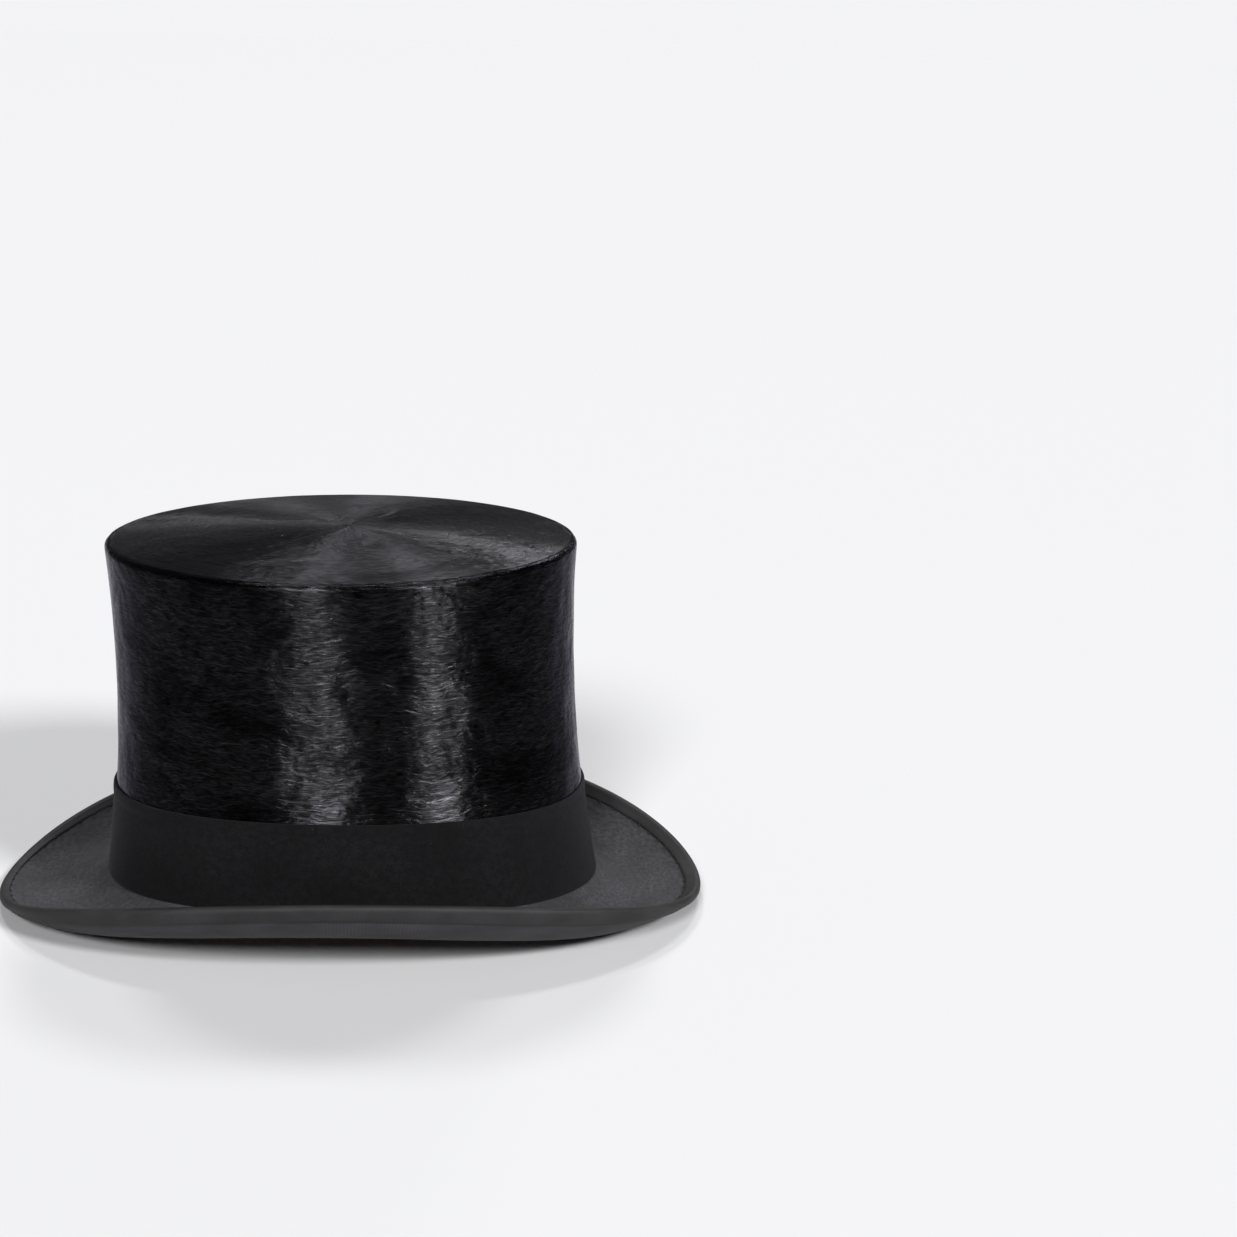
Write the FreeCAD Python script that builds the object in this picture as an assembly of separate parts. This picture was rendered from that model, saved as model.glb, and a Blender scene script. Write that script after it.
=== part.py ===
import FreeCAD, Part
import math
import os

# A rigid silk top hat, resting on its brim.
# +X points out of the front of the hat, +Y to the wearer's left, +Z up.
# The origin is on the surface that the brim rests on, under the middle of the brim.
# All sizes are millimetres.

# Crown: an oval tube, narrow at its waist, that leans back a little.
BASE_HALF_LENGTH = 105.4
BASE_HALF_WIDTH = 84.0
TOP_HALF_LENGTH = 99.2
TOP_HALF_WIDTH = 87.2
WAIST_DEPTH = 4.3
CROWN_LEAN = -4.9
RIM_HEIGHT = 160.5
RIM_TILT = 1.4
TIP_DOME = 4.6

# Where crown and brim meet: higher at the sides than at the front and back.
JOIN_HEIGHT = 17.9
JOIN_SADDLE = 4.6
WALL_HEIGHT = RIM_HEIGHT - JOIN_HEIGHT

# Brim: long at the ends, rolled up at the sides.
BRIM_HALF_LENGTH = 153.0
BRIM_HALF_WIDTH = 104.0
CORNER_FULLNESS = 0.024
EDGE_END_HEIGHT = 5.4
EDGE_FRONT_LIFT = 2.2
EDGE_SIDE_RISE = 29.3
EDGE_SHOULDER = 5.5
UNDERSIDE_SIDE_RISE = 18.3
FLAT_REST_SHARE = 0.24
LOW_REACH_END = 0.53
LOW_REACH_SHIFT = 0.17
LOW_REACH_SIDE = 0.46
ROLL_POWER_SIDE = 1.45

# Thicknesses of the layers, and the small gap left between two layers.
LAYER_GAP = 0.1
PLUSH = 1.0
SHELL = 1.8
ROBBIN = 0.3
LINING = 0.4
LEATHER = 1.2
PLANK = 1.6
COVER = 0.6
BINDING = 0.5
BAND = 1.2

# Widths and heights of the strips.
BAND_HEIGHT = 38.0
BINDING_REACH = 0.125
ROBBIN_HEIGHT = 10.0
SWEATBAND_HEIGHT = 46.0
LINING_FOOT = 30.0
REED_RADIUS = 0.8
WELT_THICKNESS = 0.35
CORD_RADIUS = 0.9

# Stitches and small trim.
STITCH_LENGTH = 2.2
STITCH_WIDTH = 0.5
STITCH_DEPTH = 0.3
BINDING_STITCHES = 88
SWEATBAND_STITCHES = 120
BOW_LOOP_LENGTH = 13.0
BOW_LOOP_HEIGHT = 7.0
BOW_THICKNESS = 1.2
TICKET_WIDTH = 14.0
TICKET_HEIGHT = 9.0
TICKET_THICKNESS = 0.3

STATIONS = 36
SMALL_STEP = 0.01
TURN = 2 * math.pi

os.makedirs("parts", exist_ok=True)


def save(name, solids):
    """Write one piece, or a group of like pieces, to its own file."""
    shape = solids[0] if len(solids) == 1 else Part.makeCompound(solids)
    for solid in solids:
        if not solid.isValid() or solid.Volume <= 0:
            raise ValueError(name + " is not a sound solid")
    shape.exportStep("parts/" + name + ".step")
    print(name, len(solids), "solid(s)", round(shape.Volume, 1), "mm3", shape.BoundBox)


def spread(start, stop, count):
    """Evenly spaced values, both ends included."""
    return [start + (stop - start) * step / (count - 1) for step in range(count)]


def ring(point_at):
    """A closed smooth line round the hat, from a function of the angle."""
    points = [point_at(TURN * station / STATIONS) for station in range(STATIONS)]
    line = Part.BSplineCurve()
    line.interpolate(Points=points, PeriodicFlag=True)
    return Part.Wire([line.toShape()])


def outward(solid):
    """The same solid with its faces pointing out."""
    if solid.Volume < 0:
        solid.reverse()
    return solid


def hoop(rings):
    """A solid hoop whose section passes through the rings, in order, and closes."""
    shell = Part.makeLoft(rings, False, True, True)
    return outward(Part.Solid(Part.Shell(shell.Faces)))


def disc(rings):
    """A solid disc from the middle of its top, over its edge, to the middle of its underside."""
    return outward(Part.makeLoft(rings, True, True))


# The crown and the brim as surfaces.


def join_height(angle):
    return JOIN_HEIGHT - JOIN_SADDLE * math.cos(2 * angle)


def crown_point(angle, height, inset):
    """A point of the crown wall: height up from the brim, inset in from the nap."""
    rise = height / WALL_HEIGHT
    waist = 4 * WAIST_DEPTH * rise * (1 - rise)
    half_length = BASE_HALF_LENGTH + (TOP_HALF_LENGTH - BASE_HALF_LENGTH) * rise - waist - inset
    half_width = BASE_HALF_WIDTH + (TOP_HALF_WIDTH - BASE_HALF_WIDTH) * rise - waist - inset
    low = join_height(angle)
    high = RIM_HEIGHT + RIM_TILT * math.cos(angle)
    x = CROWN_LEAN * rise + half_length * math.cos(angle)
    y = half_width * math.sin(angle)
    return FreeCAD.Vector(x, y, low + (high - low) * rise)


def tip_point(angle, share, inset, drop):
    """A point of the domed tip: share of the way out to the rim, drop below the nap."""
    half_length = (TOP_HALF_LENGTH - inset) * share
    half_width = (TOP_HALF_WIDTH - inset) * share
    x = CROWN_LEAN + half_length * math.cos(angle)
    y = half_width * math.sin(angle)
    dome = TIP_DOME * (1 - share ** 2)
    return FreeCAD.Vector(x, y, RIM_HEIGHT + RIM_TILT * share * math.cos(angle) + dome - drop)


def brim_middle(angle, reach):
    """A point half way through the brim's thickness, reach 0 at the crown and 1 at the edge."""
    side = math.sin(angle) ** 2
    inner = crown_point(angle, 0, PLUSH)
    corner = math.sin(2 * angle) ** 2
    full = 1 + CORNER_FULLNESS * corner
    edge_x = (BRIM_HALF_LENGTH - BINDING - LAYER_GAP) * full * math.cos(angle)
    edge_y = (BRIM_HALF_WIDTH - BINDING - LAYER_GAP) * full * math.sin(angle)
    edge_z = EDGE_END_HEIGHT + EDGE_FRONT_LIFT * math.cos(angle)
    edge_z += EDGE_SIDE_RISE * side + EDGE_SHOULDER * corner / 4
    off_rest = max(0, abs(math.sin(angle)) - FLAT_REST_SHARE) / (1 - FLAT_REST_SHARE)
    low = PLANK / 2 + LAYER_GAP / 2 + COVER + UNDERSIDE_SIDE_RISE * off_rest ** 2
    low_reach_end = LOW_REACH_END - LOW_REACH_SHIFT * math.cos(angle)
    low_reach = low_reach_end + (LOW_REACH_SIDE - low_reach_end) * side
    roll_power = 1 + (ROLL_POWER_SIDE - 1) * side
    out = 1 - (1 - reach) ** roll_power
    if reach < low_reach:
        z = low + (inner.z - low) * (1 - reach / low_reach) ** 2
    else:
        z = low + (edge_z - low) * ((reach - low_reach) / (1 - low_reach)) ** 2
    return FreeCAD.Vector(inner.x + (edge_x - inner.x) * out, inner.y + (edge_y - inner.y) * out, z)


def brim_frame(angle, reach):
    """The brim's own directions at a point: outwards along it, and square to it, up."""
    near = max(0, reach - SMALL_STEP)
    far = near + SMALL_STEP
    along = brim_middle(angle, far) - brim_middle(angle, near)
    around = brim_middle(angle + SMALL_STEP, reach) - brim_middle(angle - SMALL_STEP, reach)
    up = along.cross(around)
    along.normalize()
    up.normalize()
    return along, up


def brim_point(angle, reach, lift, beyond=0):
    """A point off the brim's middle: lift square to it, beyond its edge."""
    along, up = brim_frame(angle, reach)
    return brim_middle(angle, reach) + up * lift + along * beyond


# Ways of making the layers.


def wall_ring(height, inset):
    return ring(lambda angle: crown_point(angle, height, inset))


def wall_layer(outer, inner, foot, top, levels=9):
    """A strip standing round the crown, between two insets and two heights."""
    outside = [wall_ring(height, outer) for height in spread(foot, top, levels)]
    inside = [wall_ring(height, inner) for height in spread(top, foot, levels)]
    return hoop(outside + inside)


def tip_layer(inset, drop, thickness, levels=6):
    """A domed disc under the nap of the tip."""
    shares = spread(0.02, 1, levels)
    above = [ring(lambda angle, s=s: tip_point(angle, s, inset, drop)) for s in shares]
    shares.reverse()
    below = [ring(lambda angle, s=s: tip_point(angle, s, inset, drop + thickness)) for s in shares]
    return disc(above + below)


def brim_ring(reach, lift, beyond=0):
    return ring(lambda angle: brim_point(angle, reach, lift, beyond))


def brim_layer(low, high, levels=9):
    """A sheet of the brim, between two lifts, from the crown to the edge."""
    above = [brim_ring(reach, high) for reach in spread(0, 1, levels)]
    below = [brim_ring(reach, low) for reach in spread(1, 0, levels)]
    return hoop(above + below)


def bead(height, inset, radius, sides=8):
    """A round cord that runs round the inside of the crown."""
    rings = []
    for side in range(sides):
        turn = TURN * side / sides
        rings.append(wall_ring(height + radius * math.sin(turn), inset - radius * math.cos(turn)))
    return hoop(rings)


def place(shape, centre, across, out):
    """Put a shape made about the origin at centre, its X along across and its Z along out."""
    across.normalize()
    out.normalize()
    turned = FreeCAD.Rotation(across, out.cross(across), out, "ZXY")
    shape.Placement = FreeCAD.Placement(centre, turned)
    return shape


def plate(width, height, thickness):
    """A small flat plate, centred on the origin."""
    corner = FreeCAD.Vector(-width / 2, -height / 2, -thickness / 2)
    return Part.makeBox(width, height, thickness, corner)


def on_inside(shape, angle, height, inset):
    """Put a small flat shape against the inside of the crown."""
    centre = crown_point(angle, height, inset)
    across = crown_point(angle + SMALL_STEP, height, inset) - crown_point(angle - SMALL_STEP, height, inset)
    up = FreeCAD.Vector(0, 0, 1)
    return place(shape, centre, across, across.cross(up))


# Body of the crown: layers of stiffened gossamer, a tip board and the strip that ties it to the brim.

shell_outer = PLUSH + LAYER_GAP
shell_inner = shell_outer + SHELL
robbin_outer = shell_inner + LAYER_GAP
robbin_inner = robbin_outer + ROBBIN
brim_half = PLANK / 2 + LAYER_GAP / 2 + COVER
top_drop = PLUSH + LAYER_GAP

save("crown_side_shell", [wall_layer(shell_outer, shell_inner, -brim_half, WALL_HEIGHT - top_drop - LAYER_GAP)])
save("tip_board", [tip_layer(robbin_outer, top_drop, SHELL)])
save("robbin_strip", [wall_layer(robbin_outer, robbin_inner, -brim_half, ROBBIN_HEIGHT, 3)])

# Brim: a stiff plank, cloth above and below it, and a ribbon bound round its edge.

cover_low = PLANK / 2 + LAYER_GAP / 2
save("brim_plank", [brim_layer(-PLANK / 2, PLANK / 2)])
save("brim_top_cover", [brim_layer(cover_low, brim_half)])
save("brim_under_cover", [brim_layer(-brim_half, -cover_low)])

fold_inside = brim_half + LAYER_GAP / 2
fold_outside = fold_inside + BINDING
bind_start = 1 - BINDING_REACH
bind_reaches = spread(bind_start, 1, 3)
top_inner = [brim_ring(reach, fold_inside) for reach in bind_reaches]
low_inner = [brim_ring(reach, -fold_inside) for reach in reversed(bind_reaches)]
edge_inner = [brim_ring(1, fold_inside, LAYER_GAP), brim_ring(1, -fold_inside, LAYER_GAP)]
low_outer = [brim_ring(reach, -fold_outside) for reach in bind_reaches]
top_outer = [brim_ring(reach, fold_outside) for reach in reversed(bind_reaches)]
edge_out = LAYER_GAP + BINDING
edge_outer = [brim_ring(1, -fold_inside, edge_out), brim_ring(1, fold_inside, edge_out)]
save("brim_edge_binding", [hoop(top_inner + edge_inner + low_inner + low_outer + edge_outer + top_outer)])

stitches = []
stitch_reach = bind_start + BINDING_REACH / 5
for number in range(BINDING_STITCHES):
    angle = TURN * (number + 0.5) / BINDING_STITCHES
    along, up = brim_frame(angle, stitch_reach)
    centre = brim_point(angle, stitch_reach, fold_outside + LAYER_GAP + STITCH_DEPTH / 2)
    stitches.append(place(plate(STITCH_LENGTH, STITCH_WIDTH, STITCH_DEPTH), centre, up.cross(along), up))
save("binding_stitches", stitches)

# Silk plush: the side is turned over the rim, and the tip is a domed oval let in to it.

cover_foot = brim_half + LAYER_GAP
rim_turn = 2.5
side_levels = spread(cover_foot, WALL_HEIGHT - rim_turn, 9)
plush_out = [wall_ring(height, 0) for height in side_levels]
plush_in = [wall_ring(height, PLUSH) for height in reversed(side_levels)]
turn_out = [wall_ring(WALL_HEIGHT - 0.8, 0.7), wall_ring(WALL_HEIGHT, rim_turn - LAYER_GAP)]
turn_in = [wall_ring(WALL_HEIGHT - PLUSH, rim_turn - LAYER_GAP), wall_ring(WALL_HEIGHT - PLUSH, PLUSH)]
save("side_plush", [hoop(plush_out + turn_out + turn_in + plush_in)])
save("tip_plush", [tip_layer(rim_turn, 0, PLUSH)])

# Hat band: a strip of wool cloth, lapped on the wearer's left and sewn down through the lap.

save("cloth_band", [wall_layer(-LAYER_GAP - BAND, -LAYER_GAP, cover_foot, cover_foot + BAND_HEIGHT, 5)])
lap_stitches = []
for height in spread(cover_foot + 4, cover_foot + BAND_HEIGHT - 4, 7):
    centre = crown_point(TURN / 4, height, -2 * LAYER_GAP - BAND - STITCH_DEPTH / 2)
    front = FreeCAD.Vector(1, 0, 0.5)
    left = FreeCAD.Vector(0, 1, 0)
    lap_stitches.append(place(plate(STITCH_LENGTH, STITCH_WIDTH, STITCH_DEPTH), centre, front, left))
save("band_lap_stitches", lap_stitches)

# Linings: satin round the side, satin under the tip, and a cord that covers where they meet.

lining_outer = robbin_inner + LAYER_GAP
lining_inner = lining_outer + LINING
tip_lining_drop = top_drop + SHELL + LAYER_GAP
lining_top = WALL_HEIGHT - tip_lining_drop - 2 * LINING
save("side_lining", [wall_layer(lining_outer, lining_inner, LINING_FOOT, lining_top)])
save("tip_lining", [tip_layer(lining_outer, tip_lining_drop, LINING)])
cord_height = lining_top - CORD_RADIUS
save("tip_lining_cord", [bead(cord_height, lining_inner + LAYER_GAP + CORD_RADIUS, CORD_RADIUS)])

# Sweatband: leather sewn to a welt that wraps a thin reed, with its join and bow at the back.

leather_outer = lining_inner + 0.8
leather_inner = leather_outer + LEATHER
welt_radius = REED_RADIUS + LAYER_GAP + WELT_THICKNESS
reed_inset = robbin_inner + 2 * LAYER_GAP + welt_radius
reed_height = -brim_half + welt_radius
leather_foot = reed_height + welt_radius + LAYER_GAP
save("sweatband_leather", [wall_layer(leather_outer, leather_inner, leather_foot, SWEATBAND_HEIGHT, 5)])
save("sweatband_reed", [bead(reed_height, reed_inset, REED_RADIUS)])

welt_turns = [TURN * share for share in spread(0.30, 1.20, 11)]
welt_rings = []
for radius, turns in ((welt_radius, welt_turns), (REED_RADIUS + LAYER_GAP, reversed(welt_turns))):
    for turn in turns:
        height = reed_height + radius * math.sin(turn)
        welt_rings.append(wall_ring(height, reed_inset - radius * math.cos(turn)))
save("reed_welt", [hoop(welt_rings)])

seam_inset = leather_inner + LAYER_GAP + STITCH_DEPTH / 2
seam = []
for number in range(SWEATBAND_STITCHES):
    angle = TURN * (number + 0.5) / SWEATBAND_STITCHES
    seam.append(on_inside(plate(STITCH_LENGTH, STITCH_WIDTH, STITCH_DEPTH), angle, leather_foot + 2, seam_inset))
save("sweatband_stitches", seam)

back = TURN / 2
join = []
for height in spread(leather_foot + 20, SWEATBAND_HEIGHT - 3, 8):
    join.append(on_inside(plate(STITCH_LENGTH, STITCH_WIDTH, STITCH_DEPTH), back, height, seam_inset))
save("sweatband_join_stitches", join)

bow_inset = leather_inner + 0.6 + BOW_THICKNESS / 2
bow_height = leather_foot + 12
bow_turn = 0.118
loops = []
for side in (-1, 1):
    oval = Part.Ellipse(FreeCAD.Vector(0, 0, -BOW_THICKNESS / 2), BOW_LOOP_LENGTH / 2, BOW_LOOP_HEIGHT / 2)
    loop = Part.Face(Part.Wire([oval.toShape()])).extrude(FreeCAD.Vector(0, 0, BOW_THICKNESS))
    loops.append(on_inside(loop, back + side * bow_turn, bow_height, bow_inset))
save("sweatband_bow_loops", loops)
wrap = plate(4, BOW_LOOP_HEIGHT - 1, BOW_THICKNESS + 0.8)
save("sweatband_bow_wrap", [on_inside(wrap, back, bow_height, bow_inset)])

ticket_inset = lining_inner + 0.4 + TICKET_THICKNESS / 2
ticket = plate(TICKET_WIDTH, TICKET_HEIGHT, TICKET_THICKNESS)
save("size_ticket", [on_inside(ticket, TURN / 4, SWEATBAND_HEIGHT + 12, ticket_inset)])
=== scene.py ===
import math

import bpy
from mathutils import Matrix, Vector, noise


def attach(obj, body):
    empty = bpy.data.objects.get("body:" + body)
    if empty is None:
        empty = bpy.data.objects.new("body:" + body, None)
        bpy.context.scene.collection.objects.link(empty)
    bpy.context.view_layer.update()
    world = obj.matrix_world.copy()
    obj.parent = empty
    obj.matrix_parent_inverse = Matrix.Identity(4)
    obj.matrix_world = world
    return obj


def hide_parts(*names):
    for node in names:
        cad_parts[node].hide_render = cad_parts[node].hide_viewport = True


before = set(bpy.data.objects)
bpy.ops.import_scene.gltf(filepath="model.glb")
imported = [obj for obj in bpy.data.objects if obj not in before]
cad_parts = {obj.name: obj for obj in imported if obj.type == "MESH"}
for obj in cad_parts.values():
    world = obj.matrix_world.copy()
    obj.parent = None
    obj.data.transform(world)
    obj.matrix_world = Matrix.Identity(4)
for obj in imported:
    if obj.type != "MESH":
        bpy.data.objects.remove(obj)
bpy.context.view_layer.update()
TURN = 2 * math.pi


# Side plush: the silk cover of the crown's side, brushed round the crown.
# A long strip of woven plush, its ends sewn edge to edge at the back left, is drawn over the
# stiffened body, ironed down and turned over the rim.
BASE_HALF_LENGTH = 0.1054
BASE_HALF_WIDTH = 0.0840
TOP_HALF_LENGTH = 0.0992
TOP_HALF_WIDTH = 0.0872
WAIST_DEPTH = 0.0043
CROWN_LEAN = -0.0049
RIM_HEIGHT = 0.1605
RIM_TILT = 0.0014
JOIN_HEIGHT = 0.0179
JOIN_SADDLE = 0.0046
WALL_HEIGHT = RIM_HEIGHT - JOIN_HEIGHT
PLUSH_THICK = 0.0010
RIM_ROUND = 0.0024
WALL_FOOT = 0.0016
SEAM_TURN = 0.36


def crown_point(angle, height, inset):
    """A point of the crown's wall: height up from the brim, inset in from the nap."""
    rise = height / WALL_HEIGHT
    waist = 4 * WAIST_DEPTH * rise * (1 - rise)
    half_length = BASE_HALF_LENGTH + (TOP_HALF_LENGTH - BASE_HALF_LENGTH) * rise - waist - inset
    half_width = BASE_HALF_WIDTH + (TOP_HALF_WIDTH - BASE_HALF_WIDTH) * rise - waist - inset
    low = JOIN_HEIGHT - JOIN_SADDLE * math.cos(2 * angle)
    high = RIM_HEIGHT + RIM_TILT * math.cos(angle)
    x = CROWN_LEAN * rise + half_length * math.cos(angle)
    y = half_width * math.sin(angle)
    return Vector((x, y, low + (high - low) * rise))


def deselect():
    if bpy.context.object and bpy.context.object.mode != "OBJECT":
        bpy.ops.object.mode_set(mode="OBJECT")
    bpy.ops.object.select_all(action="DESELECT")


def fine(points, step):
    """The same line with its long stretches divided into steps."""
    path = [points[0]]
    for start, stop in zip(points, points[1:]):
        parts = max(1, round(math.dist(start, stop) / step))
        for part in range(1, parts + 1):
            path.append(tuple(a + (b - a) * part / parts for a, b in zip(start, stop)))
    return path


def wrapped(name, around, section, place, seam=SEAM_TURN):
    """A flat strip with its own UV map, bent round the hat along a closed section."""
    deselect()
    rows = len(section) - 1
    bpy.ops.mesh.primitive_grid_add(x_subdivisions=around, y_subdivisions=rows, size=1)
    piece = bpy.context.object
    piece.name = name
    for vertex in piece.data.vertices:
        angle = TURN * (seam + vertex.co.x + 0.5)
        vertex.co = place(angle, *section[round((vertex.co.y + 0.5) * rows)])
    bpy.ops.object.mode_set(mode="EDIT")
    bpy.ops.mesh.select_all(action="SELECT")
    bpy.ops.mesh.remove_doubles(threshold=0.00001)
    bpy.ops.object.mode_set(mode="OBJECT")
    bpy.ops.object.shade_smooth()
    return piece


def finish_piece(piece, material, slot, *nodes):
    """Outward faces, one material, riding on the hat's one body and standing for its CAD nodes."""
    deselect()
    piece.select_set(True)
    bpy.context.view_layer.objects.active = piece
    bpy.ops.object.mode_set(mode="EDIT")
    bpy.ops.mesh.select_all(action="SELECT")
    bpy.ops.mesh.normals_make_consistent(inside=False)
    bpy.ops.object.mode_set(mode="OBJECT")
    piece.data.materials.clear()
    piece.data.materials.append(material)
    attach(piece, "root")
    if nodes:
        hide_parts(*nodes)


def apply_all(piece):
    deselect()
    piece.select_set(True)
    bpy.context.view_layer.objects.active = piece
    for modifier in list(piece.modifiers):
        bpy.ops.object.modifier_apply(modifier=modifier.name)


class Recipe:
    """A material under construction: a Principled shader and the nodes that feed it."""

    def __init__(self, name, **constants):
        self.material = bpy.data.materials.new(name)
        self.material.use_nodes = True
        self.tree = self.material.node_tree
        self.shader = self.tree.nodes["Principled BSDF"]
        for socket, value in constants.items():
            self.shader.inputs[socket.replace("_", " ")].default_value = value

    def node(self, kind, settings=None, **inputs):
        made = self.tree.nodes.new("ShaderNode" + kind)
        for key, value in (settings or {}).items():
            setattr(made, key, value)
        for socket, value in inputs.items():
            self.feed(made.inputs[socket.replace("_", " ")], value)
        return made

    def feed(self, socket, value):
        if isinstance(value, bpy.types.NodeSocket):
            self.tree.links.new(value, socket)
        elif isinstance(value, bpy.types.Node):
            self.tree.links.new(value.outputs[0], socket)
        else:
            socket.default_value = value

    def shade(self, socket, value):
        self.feed(self.shader.inputs[socket], value)

    def stretched(self, source, scale, turn=(0, 0, 0)):
        return self.node("Mapping", None, Vector=source, Scale=scale, Rotation=turn)

    def laid_out(self, length, depth):
        """The strip laid flat, in metres along and across it."""
        return self.stretched(self.node("UVMap", {"uv_map": "UVMap"}), (length, depth, 1))

    def combed(self):
        """Shine that follows the run of the strip."""
        self.shade("Tangent", self.node("Tangent", {"direction_type": "UV_MAP", "uv_map": "UVMap"}))

    def noise(self, vector, detail=3.0, roughness=0.55, scale=1.0, distortion=0.0):
        made = self.node("TexNoise", None, Vector=vector, Scale=scale, Detail=detail)
        made.inputs["Roughness"].default_value = roughness
        made.inputs["Distortion"].default_value = distortion
        return made.outputs["Fac"]

    def band(self, value, low, high, to_low=0.0, to_high=1.0):
        made = self.node("MapRange", {"interpolation_type": "SMOOTHSTEP"}, Value=value)
        for socket, number in zip(("From Min", "From Max", "To Min", "To Max"), (low, high, to_low, to_high)):
            made.inputs[socket].default_value = number
        return made.outputs["Result"]

    def mix(self, factor, one, two, blend="MIX"):
        made = self.node("Mix", {"data_type": "RGBA", "blend_type": blend})
        for index, value in ((0, factor), (6, one), (7, two)):
            self.feed(made.inputs[index], value)
        return made.outputs[2]

    def math(self, operation, one, two=0.0):
        made = self.node("Math", {"operation": operation})
        self.feed(made.inputs[0], one)
        self.feed(made.inputs[1], two)
        return made.outputs[0]

    def add(self, one, two):
        made = self.node("VectorMath", {"operation": "ADD"})
        self.feed(made.inputs[0], one)
        self.feed(made.inputs[1], two)
        return made.outputs[0]

    def bump(self, height, distance, strength=1.0, after=None):
        made = self.node("Bump", None, Height=height, Distance=distance, Strength=strength)
        if after:
            self.feed(made.inputs["Normal"], after)
        return made.outputs["Normal"]


PILE_DARK = (0.0010, 0.0010, 0.0010, 1)
PILE_WARM = (0.0024, 0.0021, 0.0015, 1)
PILE_BRIGHT = (0.0370, 0.0366, 0.0410, 1)


def silk_plush(name, length, depth, glint, spread, lean, relief, edge, down=0.0):
    """Glossy black pile brushed along the strip, in short overlapping strokes that lean up."""
    recipe = Recipe(name, Metallic=1.0, Anisotropic=0.94, Anisotropic_Rotation=0.25, Specular_Tint=edge,
                    Sheen_Weight=down, Sheen_Roughness=0.5, Sheen_Tint=(0.85, 0.85, 0.95, 1))
    recipe.combed()
    metres = recipe.laid_out(length, depth)
    sway = recipe.noise(recipe.stretched(metres, (38, 30, 1)), 2.0)
    swept = recipe.add(metres, recipe.node("CombineXYZ", None, Y=recipe.math("MULTIPLY", sway, 0.007)))
    strokes = recipe.noise(recipe.stretched(swept, (260, 2100, 1)), 5.0, 0.62, distortion=0.4)
    locks = recipe.noise(recipe.stretched(swept, (130, 520, 1)), 3.0, 0.6, distortion=0.7)
    swells = recipe.noise(recipe.stretched(metres, (34, 42, 1)), 3.0, 0.55, distortion=0.4)
    tint = recipe.mix(recipe.band(swells, 0.35, 0.70), PILE_DARK, PILE_WARM)
    shine = recipe.math("MULTIPLY", recipe.band(strokes, 0.34, 0.68, 0.16, 1.0),
                        recipe.band(locks, 0.28, 0.66, 0.25, 1.0))
    shine = recipe.math("MULTIPLY", shine, recipe.band(swells, 0.25, 0.60, 0.35 * glint, glint))
    scuffs = recipe.noise(recipe.stretched(swept, (150, 210, 1)), 2.0, 0.5)
    shine = recipe.math("MULTIPLY", shine, recipe.band(scuffs, 0.66, 0.74, 1.0, 0.2))
    recipe.shade("Base Color", recipe.mix(shine, tint, PILE_BRIGHT))
    recipe.shade("Roughness", recipe.band(locks, 0.3, 0.7, spread + 0.05, spread - 0.05))
    lift = recipe.math("ADD", recipe.math("MULTIPLY", strokes, 0.10), recipe.math("MULTIPLY", locks, 0.6))
    lift = recipe.math("ADD", lift, recipe.math("MULTIPLY", swells, 3.0))
    pile = recipe.node("VectorMath", {"operation": "NORMALIZE"})
    recipe.feed(pile.inputs[0], recipe.add(recipe.node("NewGeometry").outputs["Normal"], (0, 0, lean)))
    recipe.shade("Normal", recipe.bump(lift, relief, 1.0, pile))
    return recipe.material


def nap_ripple(angle, height):
    return 0.00022 * noise.noise(Vector((9 * math.cos(angle), 9 * math.sin(angle), height * 60)))


def side_plush_place(angle, height, inset):
    return crown_point(angle, height, inset - nap_ripple(angle, height) * (1 if inset < RIM_ROUND else 0))


turn_in = [(WALL_HEIGHT - RIM_ROUND + RIM_ROUND * math.sin(bend), RIM_ROUND * (1 - math.cos(bend)))
           for bend in (0.3, 0.6, 0.9, 1.2, TURN / 4)]
section = fine([(WALL_FOOT, 0), (WALL_HEIGHT - RIM_ROUND, 0)], 0.0014) + turn_in
section += [(WALL_HEIGHT - PLUSH_THICK, RIM_ROUND)]
section += fine([(WALL_HEIGHT - PLUSH_THICK - 0.002, PLUSH_THICK), (WALL_FOOT, PLUSH_THICK)], 0.01)
section += [(WALL_FOOT, 0)]
side_plush = wrapped("side_plush_cloth", 300, section, side_plush_place)
side_nap = silk_plush("Side plush", 0.61, 0.168, 1.0, 0.27, 0.27, 0.0004, (0.68, 0.67, 0.72, 1))
finish_piece(side_plush, side_nap, "silk_plush", "side_plush")


# Tip plush: a domed oval of the same plush let in to the rim, its nap brushed into a swirl
# round the middle. It is sewn to the side just inside the rim and ironed flat.
TIP_DOME = 0.0046
TIP_INSET = 0.0023
SWIRL_FORWARD = 0.0025


def tip_point(angle, share, inset, drop):
    """A point of the domed tip: share of the way out to the rim, drop below the nap."""
    half_length = (TOP_HALF_LENGTH - inset) * share
    half_width = (TOP_HALF_WIDTH - inset) * share
    x = CROWN_LEAN + SWIRL_FORWARD * (1 - share) + half_length * math.cos(angle)
    y = half_width * math.sin(angle)
    dome = TIP_DOME * (1 - share ** 2)
    return Vector((x, y, RIM_HEIGHT + RIM_TILT * share * math.cos(angle) + dome - drop))


def tip_plush_place(angle, share, drop):
    spot = Vector((5 * share * math.cos(angle), 5 * share * math.sin(angle), 3))
    ripple = 0.00025 * share * noise.noise(spot)
    return tip_point(angle, share, TIP_INSET, drop - ripple)


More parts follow.
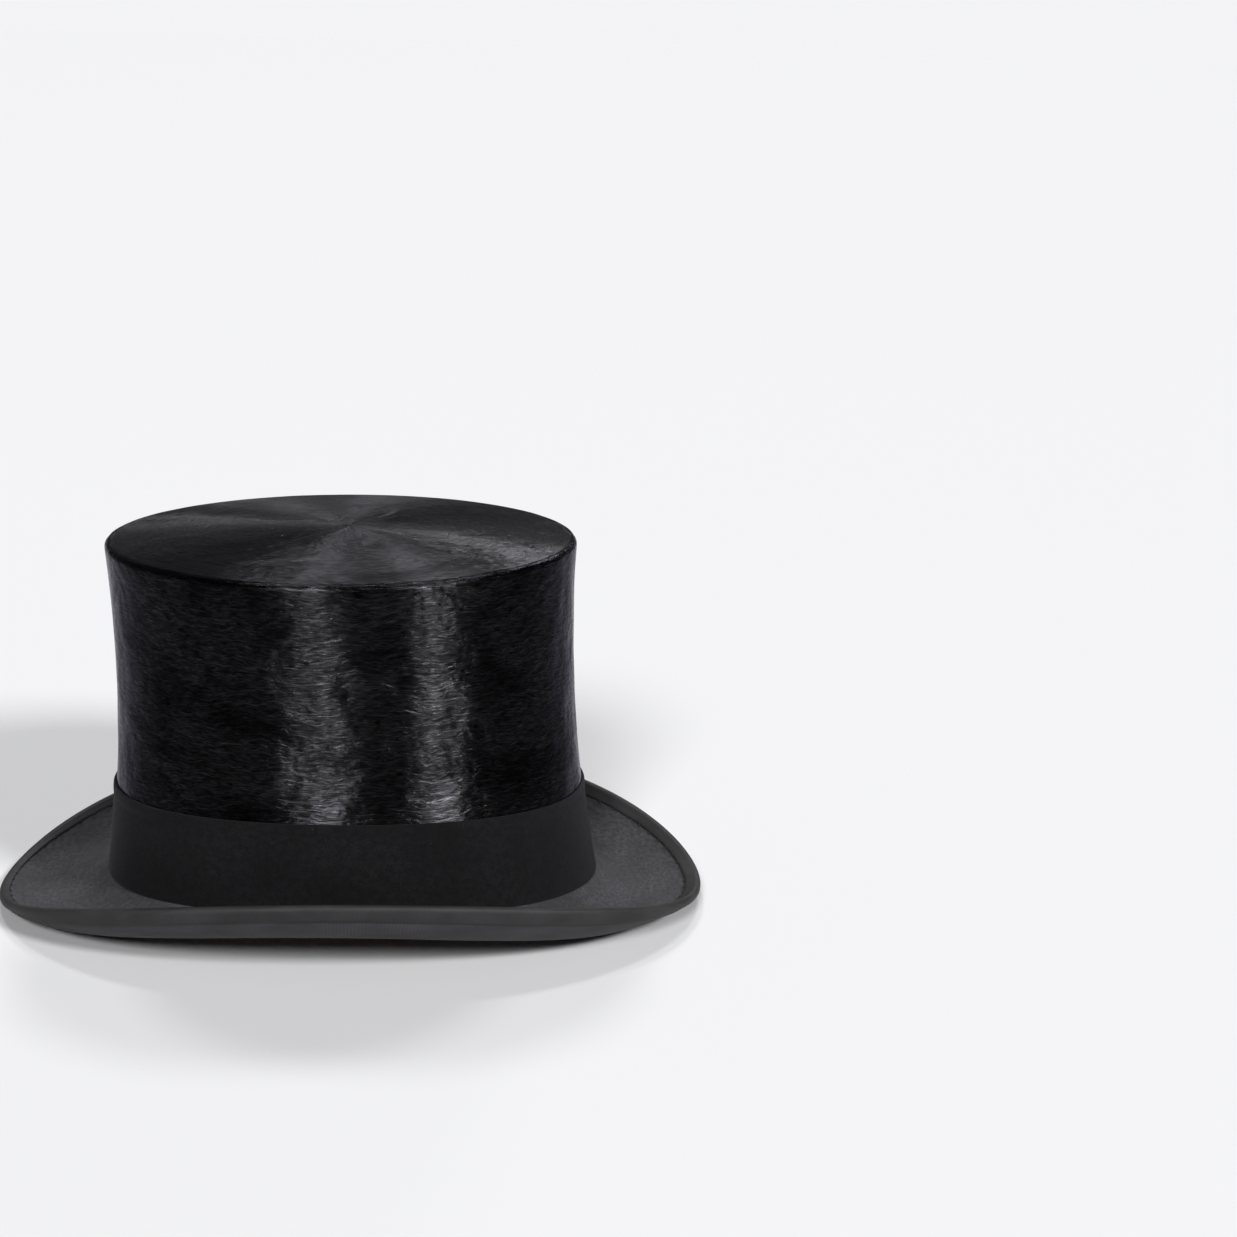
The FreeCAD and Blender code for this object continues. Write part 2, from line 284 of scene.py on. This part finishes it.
section = fine([(0, 0), (1, 0)], 1 / 60) + fine([(1, PLUSH_THICK), (0, PLUSH_THICK)], 1 / 8)
tip_plush = wrapped("tip_plush_cloth", 240, section, tip_plush_place)
tip_nap = silk_plush("Tip plush", 0.45, 0.105, 2.0, 0.36, 0.0, 0.0005, (0.8, 0.8, 0.82, 1), 0.012)
finish_piece(tip_plush, tip_nap, "silk_plush", "tip_plush")


# Hat band: a wide strip of matt black wool cloth, its top edge turned under and pressed.
# It is drawn tight round the foot of the crown and lapped on the wearer's left.
BAND_HEIGHT = 0.0380
BAND_FOOT = -0.0013
HEM = 0.0045
LAP_TURN = 0.25
LAP_LENGTH = 0.30
LAP_STEP = 0.0009
BAND_LAP_OUT = 0.0014


def band_place(angle, height, out):
    wave = 0.0002 * noise.noise(Vector((4 * math.cos(angle), 4 * math.sin(angle), height * 30)))
    past = (LAP_TURN * TURN - angle % TURN) / LAP_LENGTH
    lapped = (1 - past) * min(past * 25, 1) if 0 < past < 1 else 0
    return crown_point(angle, WALL_FOOT + height, -out - wave - (LAP_STEP * lapped if out > 0.0005 else 0))


def wool_cloth(name, dark, light, length, depth, grain, fuzz):
    """Close matt wool: a fine felted twill with paler specks of lint."""
    recipe = Recipe(name, Roughness=0.95, Specular_IOR_Level=0.09, Sheen_Weight=fuzz * 0.3,
                    Sheen_Roughness=0.5, Sheen_Tint=(0.85, 0.85, 0.95, 1))
    metres = recipe.laid_out(length, depth)
    weave = recipe.noise(recipe.stretched(metres, (grain, grain, 1)), 3.0, 0.75)
    patch = recipe.noise(recipe.stretched(metres, (28, 28, 1)), 4.0, 0.6)
    lint = recipe.noise(recipe.stretched(metres, (700, 700, 1)), 1.0, 0.5)
    cloth_tone = recipe.mix(recipe.band(patch, 0.32, 0.68), dark, light)
    nap = recipe.noise(recipe.stretched(metres, (330, 330, 1)), 3.0, 0.7)
    felt = recipe.math("ADD", recipe.band(weave, 0.36, 0.64, 0.0, 0.5),
                       recipe.band(nap, 0.34, 0.66, 0.0, 0.45))
    colour = recipe.mix(felt, tuple(0.45 * c for c in dark[:3]) + (1,), cloth_tone)
    speck = recipe.band(lint, 0.75, 0.82, 0.0, 0.6)
    recipe.shade("Base Color", recipe.mix(speck, colour, tuple(3 * c for c in light[:3]) + (1,)))
    recipe.shade("Normal", recipe.bump(weave, 0.00022, 0.8))
    return recipe.material


section = fine([(BAND_FOOT, 0.0002), (BAND_FOOT + 0.0001, 0.0009), (BAND_FOOT + 0.0006, 0.0012),
                (BAND_HEIGHT - HEM - 0.0006, 0.00112), (BAND_HEIGHT - HEM, 0.00128),
                (BAND_HEIGHT - 0.0024, 0.00142), (BAND_HEIGHT - 0.0008, 0.00138),
                (BAND_HEIGHT - 0.0002, 0.00110), (BAND_HEIGHT, 0.00070), (BAND_HEIGHT - 0.0002, 0.0003),
                (BAND_HEIGHT - 0.0010, 0.0001), (BAND_FOOT + 0.0002, 0.0001), (BAND_FOOT, 0.0002)], 0.0012)
cloth_band = wrapped("hat_band", 300, section, band_place)
band_cloth = wool_cloth("Band cloth", (0.0042, 0.0042, 0.0047, 1), (0.0082, 0.0081, 0.0090, 1),
                        0.60, 0.08, 1500, 0.15)
finish_piece(cloth_band, band_cloth, "band_cloth", "cloth_band")


# Brim top cover: fine merino cloth drawn over the stiff plank and tucked in at the crown's foot.
# The brim lies flat at the ends and rolls up at both sides.
BRIM_HALF_LENGTH = 0.1530
BRIM_HALF_WIDTH = 0.1040
CORNER_FULLNESS = 0.024
EDGE_END_HEIGHT = 0.0054
EDGE_FRONT_LIFT = 0.0022
EDGE_SIDE_RISE = 0.0293
EDGE_SHOULDER = 0.0055
UNDERSIDE_SIDE_RISE = 0.0183
FLAT_REST_SHARE = 0.24
LOW_REACH_END = 0.53
LOW_REACH_SHIFT = 0.17
LOW_REACH_SIDE = 0.46
ROLL_POWER_SIDE = 1.45
BRIM_HALF_THICK = 0.00145
COVER_THICK = 0.0006
EDGE_ALLOWANCE = 0.0006
SMALL_STEP = 0.01


def brim_middle(angle, reach):
    """A point half way through the brim's thickness, reach 0 at the crown and 1 at the edge."""
    side = math.sin(angle) ** 2
    inner = crown_point(angle, 0, PLUSH_THICK)
    corner = math.sin(2 * angle) ** 2
    full = 1 + CORNER_FULLNESS * corner
    edge_x = (BRIM_HALF_LENGTH - EDGE_ALLOWANCE) * full * math.cos(angle)
    edge_y = (BRIM_HALF_WIDTH - EDGE_ALLOWANCE) * full * math.sin(angle)
    edge_z = EDGE_END_HEIGHT + EDGE_FRONT_LIFT * math.cos(angle)
    edge_z += EDGE_SIDE_RISE * side + EDGE_SHOULDER * corner / 4
    off_rest = max(0, abs(math.sin(angle)) - FLAT_REST_SHARE) / (1 - FLAT_REST_SHARE)
    low = BRIM_HALF_THICK + UNDERSIDE_SIDE_RISE * off_rest ** 2
    low_reach_end = LOW_REACH_END - LOW_REACH_SHIFT * math.cos(angle)
    low_reach = low_reach_end + (LOW_REACH_SIDE - low_reach_end) * side
    out = 1 - (1 - reach) ** (1 + (ROLL_POWER_SIDE - 1) * side)
    if reach < low_reach:
        z = low + (inner.z - low) * (1 - reach / low_reach) ** 2
    else:
        z = low + (edge_z - low) * ((reach - low_reach) / (1 - low_reach)) ** 2
    return Vector((inner.x + (edge_x - inner.x) * out, inner.y + (edge_y - inner.y) * out, z))


def brim_frame(angle, reach):
    """The brim's own directions: outwards along it, and square to it, up."""
    near = max(0, reach - SMALL_STEP)
    along = brim_middle(angle, near + SMALL_STEP) - brim_middle(angle, near)
    around = brim_middle(angle + SMALL_STEP, reach) - brim_middle(angle - SMALL_STEP, reach)
    return along.normalized(), along.cross(around).normalized()


def brim_point(angle, reach, lift, beyond=0.0):
    along, up = brim_frame(angle, reach)
    return brim_middle(angle, reach) + up * lift + along * beyond


COVER_INNER = BRIM_HALF_THICK - COVER_THICK
CROWN_TUCK = 0.0009
reaches = [step / 48 for step in range(49)]
cover_line = [(reach, BRIM_HALF_THICK) for reach in reaches]
cover_line += [(reach, COVER_INNER) for reach in reversed(reaches[::4])]
section = [(0, BRIM_HALF_THICK, -CROWN_TUCK)] + cover_line
section += [(0, COVER_INNER, -CROWN_TUCK), section[0]]
top_cover = wrapped("brim_top_cloth", 256, section, brim_point)
brim_cloth = wool_cloth("Brim cloth", (0.038, 0.0366, 0.0404, 1), (0.064, 0.0620, 0.0680, 1),
                        0.70, 0.10, 1300, 0.15)
finish_piece(top_cover, brim_cloth, "brim_cloth", "brim_top_cover")


# Brim under cover: finely ribbed silk drawn over the underside of the plank, its outer edge
# caught in the ribbon and its inner edge turned in at the head opening.
def ribbed_silk(name, pitch, dark, light, relief, depth=0.03):
    """Silk woven with fine cords that run across its length, with painted shade in the grooves between the
    cords.
    """
    recipe = Recipe(name, Roughness=0.62, Specular_IOR_Level=0.22)
    metres = recipe.laid_out(0.83, depth)
    wave = recipe.node("TexWave", {"wave_type": "BANDS", "bands_direction": "X"}, Vector=metres,
                       Distortion=0.5, Scale=TURN / 20 / pitch)
    wave.inputs["Detail Scale"].default_value = 0.2
    slub = recipe.noise(recipe.stretched(metres, (500, 1400, 1)), 2.0, 0.6)
    fade = recipe.noise(recipe.stretched(metres, (45, 90, 1)), 3.0, 0.6)
    tone = recipe.mix(recipe.band(fade, 0.32, 0.68), dark, light)
    # The troughs between the cords are darkened towards near black where the silk is paler: painted shade in
    # the grooves.
    groove_shade = recipe.math("MULTIPLY", recipe.band(wave.outputs["Fac"], 0.0, 0.9, 0.28, 0.0),
                       recipe.band(fade, 0.35, 0.6))
    cloth_tone = recipe.mix(groove_shade, tone, (0.004, 0.004, 0.004, 1))
    recipe.shade("Base Color", cloth_tone)
    height = recipe.math("ADD", wave.outputs["Fac"], recipe.math("MULTIPLY", slub, 0.7))
    recipe.shade("Normal", recipe.bump(height, relief, 0.9))
    return recipe.material


section = [(reach, -lift) for reach, lift in cover_line]
section.append(section[0])
under_silk = ribbed_silk("Under brim silk", 0.0013, (0.021, 0.0203, 0.0222, 1), (0.036, 0.0346, 0.0378, 1),
                         0.00005, 0.06)
under_cover = wrapped("brim_under_cloth", 256, section, brim_point)
finish_piece(under_cover, under_silk, "brim_cloth", "brim_under_cover")


# Opening edge: where the under cloth ends at the head opening it is turned in under the foot
# of the body and sewn down, so that no stiffened cloth shows beside the welt.
section = [(-0.0009, 0.0016), (-0.0014, 0.0017), (-0.0017, 0.0022), (-0.0018, 0.0028), (-0.0017, 0.0033),
           (-0.0012, 0.00355), (-0.0011, 0.00340), (-0.0015, 0.0031), (-0.00155, 0.0024), (-0.0012, 0.0018),
           (-0.0009, 0.0016)]
opening_edge = wrapped("opening_edge_cloth", 256, section, crown_point)
finish_piece(opening_edge, under_silk, "brim_cloth", "brim_under_cover")


# Edge binding: a ribbed silk ribbon folded over the brim's edge and pressed round. Its inner
# edge is tucked in close to the cloth, so it stands up from the brim like a soft bead.
BINDING_REACH = 0.125
FOLD_OUTSIDE = 0.0020
EDGE_ROUND = 0.0015
EDGE_OUT = 0.0006


def above_share(angle):
    """The ribbon shows less above the brim than below it, least at the back."""
    return 0.80 + 0.20 * math.cos(angle)


def binding_place(angle, share, lift, beyond):
    """share of the ribbon's reach on to the brim; beyond is measured from the brim's edge."""
    share = share * above_share(angle) if lift > 0 else share
    flare = 1 + 0.06 * noise.noise(Vector((7 * math.cos(angle), 7 * math.sin(angle), 5)))
    return brim_point(angle, 1 - BINDING_REACH * share * flare, lift, beyond)


leg = [(1.00, 0.0014), (1.00, 0.0016), (0.98, 0.0018), (0.94, 0.0020), (0.86, 0.0021), (0.75, 0.00215),
       (0.60, 0.0021)]
section = [(share, -lift, 0) for share, lift in leg]
for step in range(13):
    turn = TURN * (step / 24 - 0.25)
    section.append((0, FOLD_OUTSIDE * math.sin(turn), (EDGE_ROUND + EDGE_OUT) * math.cos(turn) - EDGE_ROUND))
section += [(share, lift, 0) for share, lift in reversed(leg)] + [section[0]]
binding = wrapped("edge_ribbon", 420, section, binding_place)
edge_silk = ribbed_silk("Edge ribbon", 0.0009, (0.014, 0.0131, 0.0138, 1), (0.026, 0.0242, 0.0254, 1),
                        0.00004)
finish_piece(binding, edge_silk, "ribbon", "brim_edge_binding")


# Binding stitches: short stitches of black thread, one beside the next all round the brim,
# that sink into the ribbon and catch its inner edge.
STITCH_LENGTH = 0.0022
STITCH_WIDTH = 0.0007
STITCH_DEPTH = 0.0006
BINDING_STITCHES = 88


def sewn(name, places, length, width, depth):
    """Plump little stitches in one mesh; places are (centre, direction of the thread, out)."""
    deselect()
    bpy.ops.mesh.primitive_uv_sphere_add(segments=8, ring_count=6, radius=1)
    stitches = bpy.context.object
    stitches.name = name
    bpy.ops.object.mode_set(mode="EDIT")
    bpy.ops.mesh.select_all(action="SELECT")
    bpy.ops.mesh.delete(type="VERT")
    for centre, along, out in places:
        along, out = along.normalized(), out.normalized()
        across = out.cross(along).normalized()
        turned = Matrix((along, across, along.cross(across))).transposed().to_euler()
        bpy.ops.mesh.primitive_uv_sphere_add(segments=8, ring_count=6, radius=1, location=centre,
                                             rotation=turned, scale=(length / 2, width / 2, depth / 2))
    bpy.ops.object.mode_set(mode="OBJECT")
    bpy.ops.object.shade_smooth()
    return stitches


def thread(name, dark, light):
    """Twisted thread: fine slanting plies."""
    recipe = Recipe(name, Roughness=0.7, Specular_IOR_Level=0.3)
    place = recipe.node("TexCoord").outputs["Object"]
    plies = recipe.noise(recipe.stretched(place, (2600, 2600, 2600)), 2.0)
    recipe.shade("Base Color", recipe.mix(recipe.band(plies, 0.35, 0.65), dark, light))
    recipe.shade("Normal", recipe.bump(plies, 0.0001))
    return recipe.material


black_thread = thread("Black thread", (0.0015, 0.0015, 0.0015, 1), (0.006, 0.0058, 0.0056, 1))
places = []
for number in range(BINDING_STITCHES):
    angle = TURN * (number + 0.5) / BINDING_STITCHES
    reach = 1 - BINDING_REACH * 0.95 * above_share(angle)
    along, up = brim_frame(angle, reach)
    places.append((brim_point(angle, reach, FOLD_OUTSIDE - 0.00005), up.cross(along) + along * 0.9, up))
edge_stitches = sewn("edge_stitches", places, STITCH_LENGTH, STITCH_WIDTH, STITCH_DEPTH)
finish_piece(edge_stitches, black_thread, "black_thread", "binding_stitches")


# Lap stitches: the hat band's folded end is felled down with a row of slanting stitches
# in the same black thread.
LAP_STITCHES = 7
places = []
for number in range(LAP_STITCHES):
    height = 0.0040 + 0.0050 * number
    centre = crown_point(LAP_TURN * TURN, WALL_FOOT + height, -BAND_LAP_OUT)
    places.append((centre, Vector((1, 0, 0.6)), Vector((0, 1, 0))))
lap_stitches = sewn("band_end_stitches", places, STITCH_LENGTH, STITCH_WIDTH, STITCH_DEPTH)
finish_piece(lap_stitches, black_thread, "black_thread", "band_lap_stitches")


# Side lining: ivory satin, cut as a strip and eased a little full, so that soft upright folds
# stand in it. It hangs from the seam under the tip down behind the leather.
LINING_INSET = 0.0035
LINING_FOOT = 0.0300
LINING_TOP = 0.1388
SATIN_THICK = 0.0002


def side_lining_place(angle, height, back):
    share = (height - LINING_FOOT) / (LINING_TOP - LINING_FOOT)
    fold = math.sin(34 * angle + 3 * noise.noise(Vector((2 * math.cos(angle), 2 * math.sin(angle), 0))))
    drape = 0.5 + 0.5 * noise.noise(Vector((5 * math.cos(angle), 5 * math.sin(angle), 4 * share)))
    stand = 0.00028 * (1 + fold * drape * (0.35 + 0.65 * share))
    return crown_point(angle, height, LINING_INSET + stand - back)


def satin(name, length, depth, colour):
    """Smooth, long-floated silk with a soft sheen, yellowed a little by wear."""
    recipe = Recipe(name, Roughness=0.34, Anisotropic=0.6, Anisotropic_Rotation=0.25, Sheen_Weight=0.15)
    recipe.combed()
    metres = recipe.laid_out(length, depth)
    floats = recipe.noise(recipe.stretched(metres, (700, 3500, 1)), 2.0)
    stain = recipe.noise(recipe.stretched(metres, (16, 16, 1)), 4.0, 0.6)
    aged = tuple(c * t for c, t in zip(colour, (0.86, 0.78, 0.62))) + (1,)
    tone = recipe.mix(recipe.band(stain, 0.42, 0.72), colour + (1,), aged)
    recipe.feed(recipe.shader.inputs["Base Color"],
                recipe.mix(recipe.band(floats, 0.3, 0.7, 0.0, 0.18), tone,
                           tuple(0.6 * c for c in colour) + (1,)))
    recipe.shade("Roughness", recipe.band(stain, 0.3, 0.7, 0.30, 0.44))
    recipe.shade("Normal", recipe.bump(floats, 0.00004, 0.7))
    return recipe.material


SATIN_IVORY = (0.74, 0.69, 0.58)
section = fine([(LINING_FOOT, 0), (LINING_TOP, 0)], 0.0027)
section += fine([(LINING_TOP, SATIN_THICK), (LINING_FOOT, SATIN_THICK)], 0.01) + [(LINING_FOOT, 0)]
side_lining = wrapped("side_lining_silk", 420, section, side_lining_place)
finish_piece(side_lining, satin("Side lining satin", 0.56, 0.11, SATIN_IVORY), "satin", "side_lining")


# Tip lining: an oval of the same satin under the tip, eased on to the side lining
# with small puckers.
TIP_LINING_DROP = 0.0032


def tip_lining_place(angle, share, back):
    pucker = 0.00030 * share ** 6 * math.sin(60 * angle)
    return tip_point(angle, share, LINING_INSET, TIP_LINING_DROP + pucker - back)


section = fine([(0, 0), (1, 0)], 1 / 36) + fine([(1, SATIN_THICK), (0, SATIN_THICK)], 1 / 8)
tip_lining = wrapped("tip_lining_silk", 360, section, tip_lining_place)
finish_piece(tip_lining, satin("Tip lining satin", 0.56, 0.09, SATIN_IVORY), "satin", "tip_lining")


# Lining cord: two plies of silk twisted together, sewn over the seam between the side
# lining and the tip lining.
CORD_HEIGHT = 0.1379
CORD_INSET = 0.0048
CORD_RADIUS = 0.0009
CORD_TWISTS = 130


def lining_cord_place(angle, turn):
    ply = abs(math.cos(turn + angle * CORD_TWISTS / 2))
    radius = CORD_RADIUS * (0.70 + 0.30 * ply)
    return crown_point(angle, CORD_HEIGHT + radius * math.sin(turn), CORD_INSET - radius * math.cos(turn))


lining_cord = wrapped("lining_cord", 1040, [(TURN * step / 10,) for step in range(11)], lining_cord_place)
finish_piece(lining_cord, satin("Cord silk", 0.56, 0.006, (0.80, 0.72, 0.56)), "satin", "tip_lining_cord")


# Sweatband: a strip of tan roan leather, its top edge pared thin and turned, its foot sewn to
# the welt. Wear and the wearer's brow have darkened it.
LEATHER_IN = 0.0058
LEATHER_FOOT = 0.00115
LEATHER_DEPTH = 0.045


def leather_place(angle, height, back):
    slow = Vector((3 * math.cos(angle), 3 * math.sin(angle), height * 25))
    quick = Vector((9 * math.cos(angle), 9 * math.sin(angle), 2))
    wave = 0.0006 * height / LEATHER_DEPTH * noise.noise(slow)
    edge = 0.0003 * height / LEATHER_DEPTH * noise.noise(quick)
    return crown_point(angle, LEATHER_FOOT + height + edge, LEATHER_IN - back + abs(wave))


def leather(name, colour, dark):
    """Fine-grained leather with creases, darker where it has been handled."""
    recipe = Recipe(name, Specular_IOR_Level=0.45)
    metres = recipe.laid_out(0.56, 0.092)
    pebbles = recipe.node("TexVoronoi", {"feature": "DISTANCE_TO_EDGE"}, Vector=metres, Scale=1100.0)
    grain = pebbles.outputs["Distance"]
    crease = recipe.noise(recipe.stretched(metres, (90, 420, 1)), 4.0, 0.7)
    stain = recipe.noise(recipe.stretched(metres, (22, 30, 1)), 5.0, 0.6)
    rise = recipe.node("SeparateXYZ", None, Vector=recipe.node("TexCoord").outputs["Object"]).outputs["Z"]
    sweat = recipe.math("MULTIPLY", recipe.band(rise, 0.020, 0.064, 1.0, 0.15),
                        recipe.band(stain, 0.30, 0.75))
    tone = recipe.mix(recipe.band(crease, 0.35, 0.7, 0.0, 0.5), colour, dark)
    recipe.shade("Base Color", recipe.mix(sweat, tone, dark))
    recipe.shade("Roughness", recipe.band(stain, 0.3, 0.7, 0.38, 0.58))
    height = recipe.math("ADD", recipe.band(grain, 0.0, 0.12), recipe.math("MULTIPLY", crease, 0.8))
    recipe.shade("Normal", recipe.bump(height, 0.00010, 0.7))
    return recipe.material


section = fine([(0.0000, 0.0003), (0.0003, 0.0001), (0.0010, 0.0), (0.0425, 0.0), (0.0440, 0.00010),
                (0.04470, 0.00035), (0.04485, 0.0007), (0.0445, 0.0010), (0.0430, 0.0012), (0.0002, 0.0012),
                (0.0000, 0.0003)], 0.0015)
sweatband = wrapped("sweatband_hide", 300, section, leather_place, 0.5)
finish_piece(sweatband, leather("Sweatband leather", (0.43, 0.25, 0.12, 1), (0.15, 0.075, 0.035, 1)),
             "sweatband_leather", "sweatband_leather")


# Sweatband stitches: pale linen thread, one row round the foot of the leather and a short
# one up the join at the back.
SEAM_STITCHES = 120
JOIN_STITCHES = 8
SEAM_STITCH = (0.0030, 0.0006, 0.0005)
SEAM_INSET = LEATHER_IN + 0.00010


def against_leather(angle, height):
    centre = crown_point(angle, height, SEAM_INSET)
    along = crown_point(angle + 0.01, height, SEAM_INSET) - crown_point(angle - 0.01, height, SEAM_INSET)
    return centre, along, along.cross(Vector((0, 0, 1))) * -1


pale_thread = thread("Pale thread", (0.42, 0.36, 0.26, 1), (0.66, 0.60, 0.48, 1))
places = [against_leather(TURN * (number + 0.5) / SEAM_STITCHES, LEATHER_FOOT + 0.0022)
          for number in range(SEAM_STITCHES)]
foot_stitches = sewn("sweatband_foot_stitches", places, *SEAM_STITCH)
finish_piece(foot_stitches, pale_thread, "pale_thread", "sweatband_stitches")
places = [against_leather(TURN / 2, LEATHER_FOOT + 0.0205 + 0.0030 * number)
          for number in range(JOIN_STITCHES)]
join_stitches = sewn("sweatband_join_stitches_pale", places, *SEAM_STITCH)
finish_piece(join_stitches, pale_thread, "pale_thread", "sweatband_join_stitches")


# Sweatband bow: a small flat bow of black ribbon over the join, two loops and
# a wrapped middle, stitched flat to the leather.
BOW_TURN = 0.118
BOW_HEIGHT = 0.0131
LOOP_LENGTH = 0.0130
LOOP_WIDTH = 0.0064
bow_ribbon = ribbed_silk("Bow ribbon", 0.0005, (0.006, 0.006, 0.007, 1), (0.020, 0.019, 0.021, 1),
                         0.00006, 0.03)
for side in (-1, 1):
    deselect()
    bpy.ops.mesh.primitive_grid_add(x_subdivisions=28, y_subdivisions=6, size=1)
    loop = bpy.context.object
    loop.name = "bow_loop_back" if side < 0 else "bow_loop_front"
    middle, along, out = against_leather(TURN / 2 + side * BOW_TURN, BOW_HEIGHT)
    along, out = along.normalized(), out.normalized()
    for vertex in loop.data.vertices:
        turn = (vertex.co.x + 0.5) * TURN
        inward = (1 + math.cos(turn)) / 2
        width = LOOP_WIDTH * (0.55 + 0.45 * math.sin(min(inward * 1.6, 1) * math.pi / 2))
        place = middle + along * (side * (inward - 0.5) * LOOP_LENGTH)
        place = place + out * (0.0009 + 0.0007 * math.sin(turn) + 0.0002 * math.sin(9 * vertex.co.y))
        vertex.co = place + Vector((0, 0, 1)) * vertex.co.y * width
    thick = loop.modifiers.new("ribbon", "SOLIDIFY")
    thick.thickness = 0.00022
    thick.offset = 0
    apply_all(loop)
    bpy.ops.object.shade_smooth()
    finish_piece(loop, bow_ribbon, "bow_ribbon", "sweatband_bow_loops")
deselect()
bpy.ops.mesh.primitive_cylinder_add(vertices=24, radius=1, depth=1)
bow_wrap = bpy.context.object
bow_wrap.name = "bow_middle"
bpy.ops.object.mode_set(mode="EDIT")
bpy.ops.mesh.select_all(action="SELECT")
bpy.ops.mesh.bevel(offset=0.10, segments=3, affect="EDGES")
bpy.ops.object.mode_set(mode="OBJECT")
middle, along, out = against_leather(TURN / 2, BOW_HEIGHT)
along, out = along.normalized(), out.normalized()
for vertex in bow_wrap.data.vertices:
    vertex.co = (middle + out * 0.0010 + along * vertex.co.x * 0.0021 + out * vertex.co.y * 0.0011
                 + Vector((0, 0, 1)) * vertex.co.z * 0.0060)
bpy.ops.object.shade_smooth()
finish_piece(bow_wrap, bow_ribbon, "bow_ribbon", "sweatband_bow_wrap")


# The parts kept as they were made: the stiffened gossamer body and brim plank, the reed and
# its oiled welt, and the blank size ticket.
def woven(name, colour, gap, pitch, roughness):
    """Open cloth soaked in shellac: threads both ways with darker varnish between them."""
    recipe = Recipe(name, Roughness=roughness)
    place = recipe.node("TexCoord").outputs["Object"]
    lines = [recipe.node("TexWave", {"wave_type": "BANDS", "bands_direction": way}, Vector=place,
                         Distortion=0.4, Scale=TURN / 20 / pitch).outputs["Fac"] for way in "XYZ"]
    weave = recipe.math("MAXIMUM", recipe.math("MAXIMUM", lines[0], lines[1]), lines[2])
    cloud = recipe.noise(recipe.stretched(place, (60, 60, 60)), 4.0)
    varnish = recipe.mix(recipe.band(cloud, 0.3, 0.7), gap, colour)
    recipe.shade("Base Color", recipe.mix(recipe.band(weave, 0.55, 0.95), varnish, colour))
    recipe.shade("Normal", recipe.bump(weave, 0.0001, 0.6))
    return recipe.material


gossamer = woven("Gossamer", (0.33, 0.21, 0.10, 1), (0.16, 0.09, 0.04, 1), 0.0011, 0.5)
reed_cane = woven("Reed", (0.52, 0.40, 0.22, 1), (0.38, 0.27, 0.13, 1), 0.0030, 0.5)
oilcloth = woven("Oilcloth", (0.035, 0.030, 0.026, 1), (0.018, 0.016, 0.014, 1), 0.0007, 0.38)
card = woven("Ticket card", (0.80, 0.76, 0.66, 1), (0.70, 0.64, 0.52, 1), 0.0004, 0.85)
KEPT = {"crown_side_shell": gossamer, "tip_board": gossamer, "robbin_strip": gossamer, "brim_plank": gossamer,
        "sweatband_reed": reed_cane, "reed_welt": oilcloth, "size_ticket": card}
for name, material in KEPT.items():
    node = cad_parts[name]
    node.data.materials.clear()
    node.data.materials.append(material)


# Pale floor, soft light and the camera. The two front lights stand where their reflections
# make the two upright bands of shine on the crown; the others fill the top and the back.
deselect()
bpy.ops.mesh.primitive_circle_add(vertices=128, radius=60, fill_type="NGON")
floor = bpy.context.object
floor.name = "floor"
floor_paint = Recipe("Floor", Roughness=0.95, Base_Color=(0.58, 0.58, 0.59, 1), Specular_IOR_Level=0.1)
floor.data.materials.append(floor_paint.material)


def soft_light(name, azimuth, elevation, spread, strength):
    """A wide, far light: azimuth 0 is in front, 90 to the right; spread is how wide it looks."""
    turn, up = math.radians(azimuth), math.radians(elevation)
    toward = Vector((math.sin(turn) * math.cos(up), -math.cos(turn) * math.cos(up), math.sin(up)))
    lamp = bpy.data.lights.new(name, "SUN")
    lamp.angle, lamp.energy = math.radians(spread), strength
    holder = bpy.data.objects.new(name, lamp)
    bpy.context.collection.objects.link(holder)
    holder.location = toward * 3
    holder.rotation_euler = (-toward).to_track_quat("-Z", "Y").to_euler()


soft_light("front light", -12, 34, 15, 2.6)
soft_light("right light", 45, 34, 11, 3.0)
soft_light("back light", 170, 28, 10, 0.25)
soft_light("overhead left", -163, 60, 9, 0.8)
soft_light("overhead right", 162, 60, 9, 0.85)

# The room gives little light, so that the blacks stay black, but looks as pale as the floor.
world = bpy.data.worlds.new("Room")
world.use_nodes = True
room = world.node_tree
room_light = room.nodes["Background"]
room_light.inputs["Color"].default_value = (0.92, 0.93, 0.96, 1)
room_light.inputs["Strength"].default_value = 0.09
backdrop = room.nodes.new("ShaderNodeBackground")
backdrop.inputs["Color"].default_value = (0.90, 0.90, 0.92, 1)
looked_at = room.nodes.new("ShaderNodeLightPath").outputs["Is Camera Ray"]
either = room.nodes.new("ShaderNodeMixShader")
room.links.new(looked_at, either.inputs["Fac"])
room.links.new(room_light.outputs["Background"], either.inputs[1])
room.links.new(backdrop.outputs["Background"], either.inputs[2])
room.links.new(either.outputs["Shader"], room.nodes["World Output"].inputs["Surface"])
bpy.context.scene.world = world
bpy.context.scene.view_settings.view_transform = "Standard"

camera = bpy.data.cameras.new("camera")
camera.lens = 63.6
camera_stand = bpy.data.objects.new("camera", camera)
bpy.context.collection.objects.link(camera_stand)
camera_stand.location = (0.0648, -0.9078, 0.3697)
camera_stand.rotation_euler = [math.radians(turn) for turn in (75.004, -1.742, -2.581)]
bpy.context.scene.camera = camera_stand
